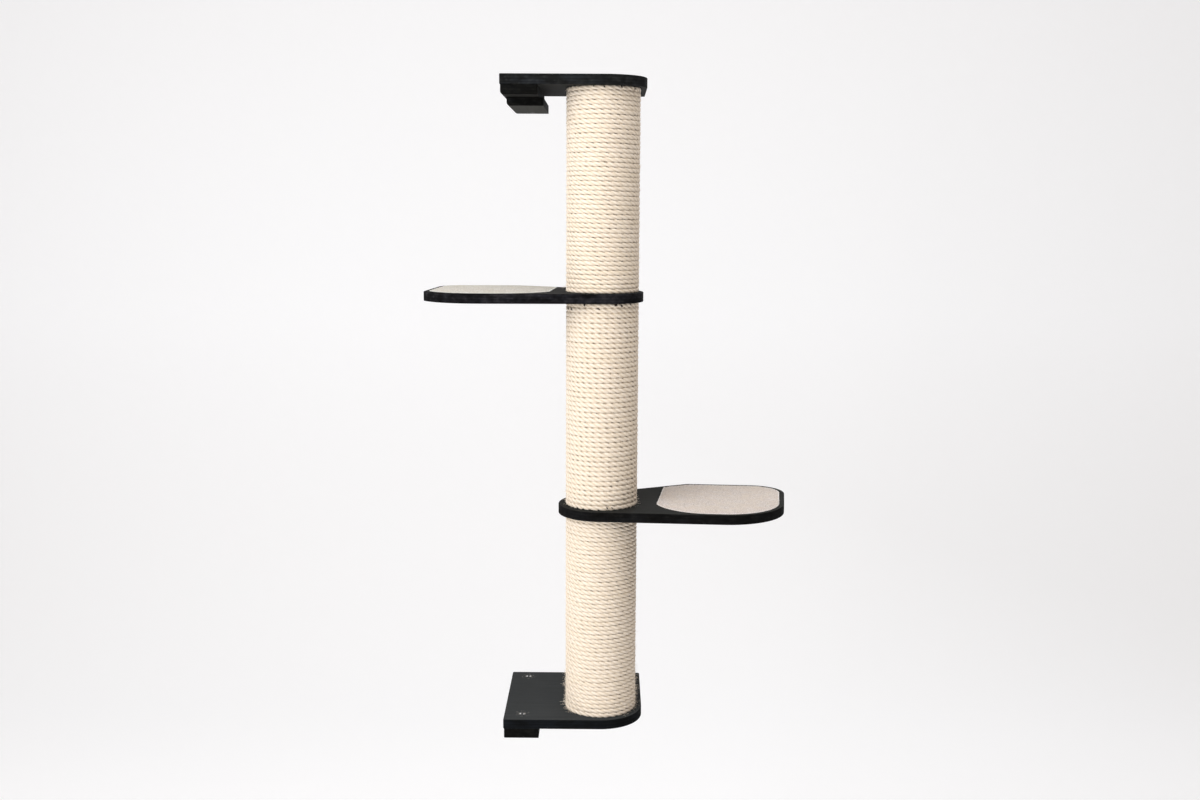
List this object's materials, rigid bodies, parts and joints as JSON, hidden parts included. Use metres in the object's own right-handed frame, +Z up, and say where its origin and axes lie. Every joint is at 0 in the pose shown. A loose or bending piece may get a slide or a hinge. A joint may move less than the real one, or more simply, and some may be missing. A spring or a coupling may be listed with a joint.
{
  "type": "wall mounted cat tree",
  "caption": "Sisal-wrapped post held off the wall by black end plates on hidden wall rods, with a carpeted black shelf on each side at different heights.",
  "frame": {"origin": "mouth of the lower rod bore, in the wall face of the bottom rail block", "axes": "+Z up, +Y into the wall, +X to the right as seen from the room"},
  "size_m": [0.6853, 0.2709, 1.231],
  "materials": {
    "black_board": "black wood stain, satin, faint grain",
    "carpet": "beige low cut pile",
    "sisal": "natural three-strand rope with loose fibres",
    "tube_board": "wound kraft board, matt",
    "raw_wood": "sawn birch plywood",
    "zinc_steel": "bright zinc plate",
    "dark_steel": "black oxide"
  },
  "bodies": {
    "root": {"top_plate": "black_board", "bottom_plate": "black_board", "lower_shelf": "black_board", "upper_shelf": "black_board", "top_rail_block": "black_board", "bottom_rail_block": "black_board", "top_wall_arm": "black_board", "bottom_wall_arm": "black_board", "lower_shelf_mat": "carpet", "upper_shelf_mat": "carpet", "lower_post_tube": "tube_board", "lower_post_foot_plug": "raw_wood", "lower_post_head_plug": "raw_wood", "lower_post_rope_low": "sisal", "lower_post_rope_high": "sisal", "middle_post_tube": "tube_board", "middle_post_foot_plug": "raw_wood", "middle_post_head_plug": "raw_wood", "middle_post_rope_low": "sisal", "middle_post_rope_high": "sisal", "upper_post_tube": "tube_board", "upper_post_foot_plug": "raw_wood", "upper_post_head_plug": "raw_wood", "upper_post_rope_low": "sisal", "upper_post_rope_high": "sisal", "tee_nuts": "zinc_steel", "lower_shelf_stud": "zinc_steel", "upper_shelf_stud": "zinc_steel", "bottom_plate_washer": "zinc_steel", "bottom_plate_bolt": "zinc_steel", "bottom_plate_screws": "zinc_steel", "bottom_arm_screws": "zinc_steel", "top_plate_washer": "zinc_steel", "top_plate_bolt": "zinc_steel", "top_plate_screws": "zinc_steel", "top_arm_screws": "zinc_steel", "bottom_lock_screw": "dark_steel", "top_lock_screw": "dark_steel"}
  },
  "joints": []
}
